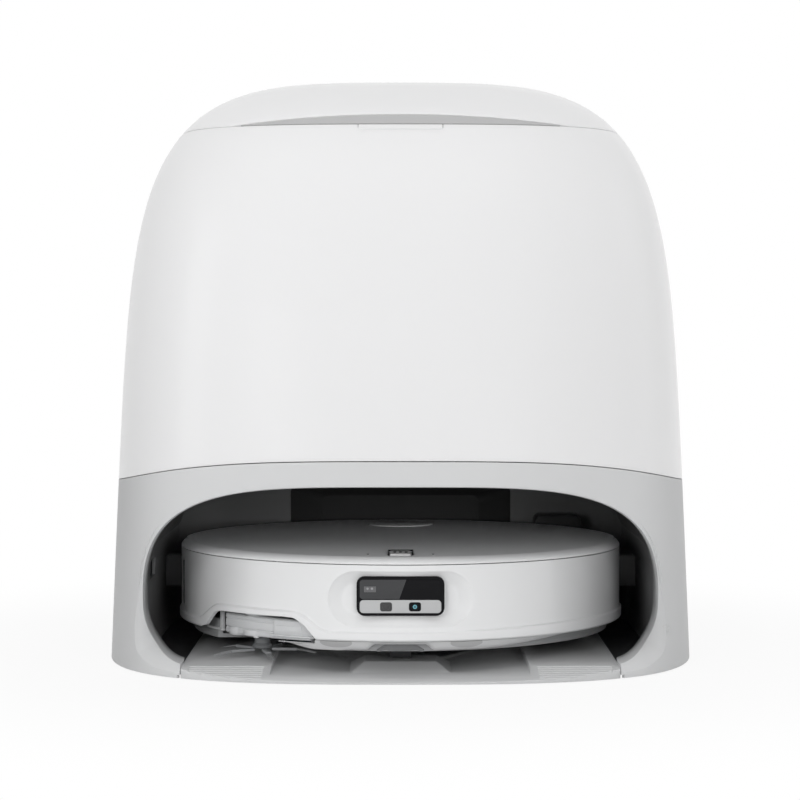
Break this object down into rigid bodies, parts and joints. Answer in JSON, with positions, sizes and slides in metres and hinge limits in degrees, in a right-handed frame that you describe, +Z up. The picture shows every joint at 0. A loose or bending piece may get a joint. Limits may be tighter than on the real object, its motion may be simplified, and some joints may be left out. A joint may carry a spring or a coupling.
{
  "type": "robot vacuum with docking station",
  "caption": "Round robot vacuum and mop parked in a domed docking station with an arched bay, hinged lid, pull-off front cover and removable wash tray.",
  "frame": {"origin": "on the floor, at the middle of the overall bounding box: under the middle of the station", "axes": "+Z up, the open front of the bay faces -Y, +X to the right when looking at the front"},
  "size_m": [0.456, 0.443, 0.45],
  "materials": {
    "shell_white": "glossy white moulded plastic",
    "base_grey": "satin light grey plastic",
    "deck_grey": "satin grey plastic",
    "tab_light": "pale translucent light bar",
    "steel": "plain steel",
    "bay_dark": "dark grey matt plastic",
    "tray_grey": "light grey satin plastic",
    "plate_grey": "grey plastic",
    "foot_rubber": "black rubber",
    "contact_metal": "plated contact metal",
    "tank_clear": "clear plastic tank",
    "tank_smoke": "smoked plastic tank",
    "handle_blue": "blue grip",
    "handle_grey": "grey grip",
    "bag_paper": "non-woven bag",
    "dark_plastic": "dark plastic",
    "board_green": "circuit board",
    "battery_blue": "shrink-wrapped battery pack",
    "robot_body": "pale silver-white plastic",
    "robot_cover": "pale silver-white plastic",
    "chassis_grey": "grey plastic",
    "sensor_black": "black gloss plastic",
    "dark_glass": "dark coated window",
    "tyre_rubber": "ribbed rubber tyre",
    "arm_clear": "pale translucent plastic",
    "bristle_grey": "grey bristles on a plastic hub",
    "roller_blue": "blue-grey rubber fins",
    "mop_cloth": "short-pile cloth"
  },
  "bodies": {
    "station": {"base_shell": "base_grey", "housing": "shell_white", "top_deck": "deck_grey", "hinge_pins": "steel", "inner_frame": "deck_grey", "bay_liner": "bay_dark", "rear_pocket": "bay_dark", "refill_nozzle": "bay_dark", "base_plate": "plate_grey", "rubber_feet": "foot_rubber", "clean_tank": "tank_clear", "dirty_tank": "tank_smoke", "dust_bag": "bag_paper", "suction_motor": "dark_plastic", "dust_duct": "dark_plastic", "water_pumps": "dark_plastic", "dryer_fan": "dark_plastic", "control_board": "board_green", "power_inlet": "dark_plastic"},
    "cover": {"front_cover": "shell_white", "status_tab": "tab_light"},
    "lid": {"lid": "shell_white"},
    "tray": {"wash_tray": "tray_grey", "washboard": "tray_grey"},
    "contact_left": {"contact_left": "contact_metal"},
    "contact_right": {"contact_right": "contact_metal"},
    "clean_handle": {"clean_tank_handle": "handle_blue"},
    "dirty_handle": {"dirty_tank_handle": "handle_grey"},
    "robot": {"chassis": "chassis_grey", "rear_band": "robot_body", "top_ring": "robot_body", "dustbin": "dark_plastic", "battery": "battery_blue", "main_board": "board_green", "robot_fan": "dark_plastic", "charge_plates": "contact_metal"},
    "robot_bumper": {"bumper": "robot_body", "camera_frame": "sensor_black", "camera_glass": "dark_glass", "sensor_lenses": "dark_glass"},
    "robot_cover": {"top_cover": "robot_cover"},
    "robot_key": {"power_key": "robot_cover"},
    "lidar_lift": {"lidar_cap": "robot_cover"},
    "lidar_head": {"lidar_turret": "sensor_black"},
    "arm_left": {"wheel_arm_left": "chassis_grey"},
    "arm_right": {"wheel_arm_right": "chassis_grey"},
    "wheel_left": {"drive_wheel_left": "tyre_rubber"},
    "wheel_right": {"drive_wheel_right": "tyre_rubber"},
    "caster_swivel": {"caster_fork": "chassis_grey"},
    "caster": {"caster_wheel": "tyre_rubber"},
    "brush_carrier": {"brush_arm": "arm_clear"},
    "corner_brush": {"side_brush": "bristle_grey"},
    "roller_left": {"main_brush_left": "roller_blue"},
    "roller_right": {"main_brush_right": "roller_blue"},
    "mop_lift_left": {"mop_hub_left": "chassis_grey"},
    "mop_lift_right": {"mop_hub_right": "chassis_grey"},
    "mop_left": {"mop_plate_left": "chassis_grey", "mop_pad_left": "mop_cloth"},
    "mop_right": {"mop_plate_right": "chassis_grey", "mop_pad_right": "mop_cloth"}
  },
  "joints": [
    {"name": "lid_hinge", "type": "hinge", "parent": "station", "child": "lid", "pos_m": [0, 0.19954, 0.402], "axis": [-1, 0, 0], "range_deg": [0, 75]},
    {"name": "front_cover_pull", "type": "slide", "parent": "station", "child": "cover", "axis": [0, -1, 0], "range_m": [0, 0.1]},
    {"name": "tray_slide_out", "type": "slide", "parent": "station", "child": "tray", "axis": [0, -1, 0], "range_m": [0, 0.36]},
    {"name": "contact_left_press", "type": "slide", "parent": "station", "child": "contact_left", "axis": [-1, 0, 0], "range_m": [0, 0.003], "stiffness_N_per_m": 600},
    {"name": "contact_right_press", "type": "slide", "parent": "station", "child": "contact_right", "axis": [1, 0, 0], "range_m": [0, 0.003], "stiffness_N_per_m": 600},
    {"name": "clean_handle_fold", "type": "hinge", "parent": "station", "child": "clean_handle", "pos_m": [0.087, 0.04, 0.403], "axis": [1, 0, 0], "range_deg": [0, 90]},
    {"name": "dirty_handle_fold", "type": "hinge", "parent": "station", "child": "dirty_handle", "pos_m": [-0.087, 0.04, 0.403], "axis": [1, 0, 0], "range_deg": [0, 90]},
    {"name": "robot_drive_out", "type": "slide", "parent": "station", "child": "robot", "axis": [0, -1, 0], "range_m": [0, 0.42]},
    {"name": "bumper_press", "type": "slide", "parent": "robot", "child": "robot_bumper", "axis": [0, 1, 0], "range_m": [0, 0.003], "stiffness_N_per_m": 900},
    {"name": "top_cover_lift", "type": "slide", "parent": "robot", "child": "robot_cover", "axis": [0, 0, 1], "range_m": [0, 0.025]},
    {"name": "power_key_press", "type": "slide", "parent": "robot", "child": "robot_key", "axis": [0, 0, -1], "range_m": [0, 0.0006], "stiffness_N_per_m": 1500},
    {"name": "lidar_rise", "type": "slide", "parent": "robot", "child": "lidar_lift", "axis": [0, 0, 1], "range_m": [0, 0.02]},
    {"name": "lidar_spin", "type": "hinge", "parent": "lidar_lift", "child": "lidar_head", "pos_m": [0, 0.094, 0.0695], "axis": [0, 0, 1], "continuous": true},
    {"name": "wheel_left_travel", "type": "hinge", "parent": "robot", "child": "arm_left", "pos_m": [-0.092, 0.006, 0.0595], "axis": [-1, 0, 0], "range_deg": [0, 12]},
    {"name": "wheel_right_travel", "type": "hinge", "parent": "robot", "child": "arm_right", "pos_m": [0.092, 0.006, 0.0595], "axis": [-1, 0, 0], "range_deg": [0, 12]},
    {"name": "wheel_left_spin", "type": "hinge", "parent": "arm_left", "child": "wheel_left", "pos_m": [-0.112, -0.018, 0.0425], "axis": [1, 0, 0], "continuous": true},
    {"name": "wheel_right_spin", "type": "hinge", "parent": "arm_right", "child": "wheel_right", "pos_m": [0.112, -0.018, 0.0425], "axis": [1, 0, 0], "continuous": true},
    {"name": "caster_swivel_turn", "type": "hinge", "parent": "robot", "child": "caster_swivel", "pos_m": [0, -0.146, 0.0395], "axis": [0, 0, 1], "continuous": true},
    {"name": "caster_spin", "type": "hinge", "parent": "caster_swivel", "child": "caster", "pos_m": [0, -0.146, 0.0215], "axis": [1, 0, 0], "continuous": true},
    {"name": "brush_arm_swing", "type": "hinge", "parent": "robot", "child": "brush_carrier", "pos_m": [-0.062, -0.146, 0.0285], "axis": [0, 0, 1], "range_deg": [0, 35]},
    {"name": "side_brush_spin", "type": "hinge", "parent": "brush_carrier", "child": "corner_brush", "pos_m": [-0.104, -0.13, 0.0195], "axis": [0, 0, 1], "continuous": true},
    {"name": "main_brush_left_spin", "type": "hinge", "parent": "robot", "child": "roller_left", "pos_m": [-0.047, -0.076, 0.0325], "axis": [1, 0, 0], "continuous": true},
    {"name": "main_brush_right_spin", "type": "hinge", "parent": "robot", "child": "roller_right", "pos_m": [0.047, -0.076, 0.0325], "axis": [1, 0, 0], "continuous": true},
    {"name": "mop_left_lift", "type": "slide", "parent": "robot", "child": "mop_lift_left", "axis": [0, 0, 1], "range_m": [0, 0.01]},
    {"name": "mop_right_lift", "type": "slide", "parent": "robot", "child": "mop_lift_right", "axis": [0, 0, 1], "range_m": [0, 0.01]},
    {"name": "mop_left_spin", "type": "hinge", "parent": "mop_lift_left", "child": "mop_left", "pos_m": [-0.07, 0.066, 0.0165], "axis": [0, 0, 1], "continuous": true},
    {"name": "mop_right_spin", "type": "hinge", "parent": "mop_lift_right", "child": "mop_right", "pos_m": [0.07, 0.066, 0.0165], "axis": [0, 0, 1], "continuous": true}
  ],
  "couplings": [
    {"joint": "main_brush_right_spin", "follows": "main_brush_left_spin", "ratio": 1},
    {"joint": "mop_right_lift", "follows": "mop_left_lift", "ratio": 1},
    {"joint": "mop_right_spin", "follows": "mop_left_spin", "ratio": -1}
  ]
}
